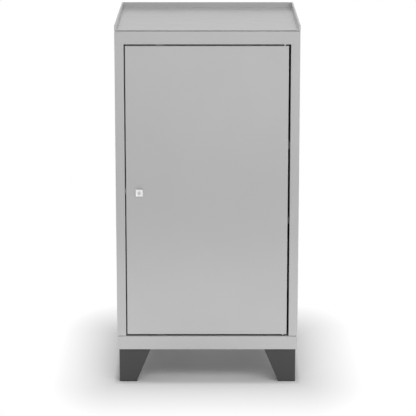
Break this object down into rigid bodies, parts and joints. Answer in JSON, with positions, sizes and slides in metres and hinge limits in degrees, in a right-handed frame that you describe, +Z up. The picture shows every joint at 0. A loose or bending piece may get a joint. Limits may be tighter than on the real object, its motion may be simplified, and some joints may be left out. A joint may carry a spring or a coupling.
{
  "type": "tool storage side locker",
  "caption": "Tall narrow sheet-steel side locker with a lockable flush door, inner shelves, a rimmed tray top and tapered legs.",
  "frame": {"origin": "on the floor, under the centre of the bounding box", "axes": "+Z up from the floor, +Y from the door to the back, +X to the right of someone facing the door, which is the hinge side"},
  "size_m": [0.5, 0.506, 1],
  "materials": {
    "cabinet_enamel": "satin light grey powder coat on sheet steel",
    "door_enamel": "satin light grey powder coat on sheet steel",
    "shelf_enamel": "satin light grey powder coat on sheet steel",
    "leg_enamel": "satin dark grey powder coat on sheet steel",
    "glide_plastic": "moulded dark plastic",
    "lock_chrome": "bright plate on die-cast zinc",
    "plug_nickel": "nickel plate",
    "zinc_steel": "bright zinc plate",
    "pin_steel": "turned steel",
    "bush_nylon": "black nylon",
    "buffer_rubber": "black rubber"
  },
  "bodies": {
    "cabinet": {"back_panel": "cabinet_enamel", "door_buffers": "buffer_rubber", "floor_pan": "cabinet_enamel", "front_left_glide": "glide_plastic", "front_left_leg": "leg_enamel", "front_left_upright": "shelf_enamel", "front_right_glide": "glide_plastic", "front_right_leg": "leg_enamel", "front_right_upright": "shelf_enamel", "keeper": "zinc_steel", "left_side_panel": "cabinet_enamel", "leg_bolts": "zinc_steel", "leg_nuts": "zinc_steel", "lower_door_stop": "zinc_steel", "lower_hinge_bush": "bush_nylon", "lower_shelf": "shelf_enamel", "lower_shelf_clips": "zinc_steel", "rear_left_glide": "glide_plastic", "rear_left_leg": "leg_enamel", "rear_left_upright": "shelf_enamel", "rear_right_glide": "glide_plastic", "rear_right_leg": "leg_enamel", "rear_right_upright": "shelf_enamel", "right_side_panel": "cabinet_enamel", "top_panel": "cabinet_enamel", "top_tray": "cabinet_enamel", "upper_door_stop": "zinc_steel", "upper_hinge_bush": "bush_nylon", "upper_shelf": "shelf_enamel", "upper_shelf_clips": "zinc_steel"},
    "door": {"door_skin": "door_enamel", "door_stiffener": "door_enamel", "upper_hinge_bracket": "zinc_steel", "lower_hinge_bracket": "zinc_steel", "upper_hinge_pin": "pin_steel", "lower_hinge_pin": "pin_steel", "hinge_clips": "pin_steel", "lock_housing": "lock_chrome", "lock_nut": "zinc_steel"},
    "lock": {"lock_plug": "plug_nickel", "lock_cam": "zinc_steel", "cam_screw": "zinc_steel"}
  },
  "joints": [
    {"name": "door_hinge", "type": "hinge", "parent": "cabinet", "child": "door", "pos_m": [0.20956, -0.237, 0.54], "axis": [0, 0, 1], "range_deg": [0, 110]},
    {"name": "lock_turn", "type": "hinge", "parent": "door", "child": "lock", "pos_m": [-0.186, -0.247, 0.54], "axis": [0, 1, 0], "range_deg": [0, 90]}
  ]
}
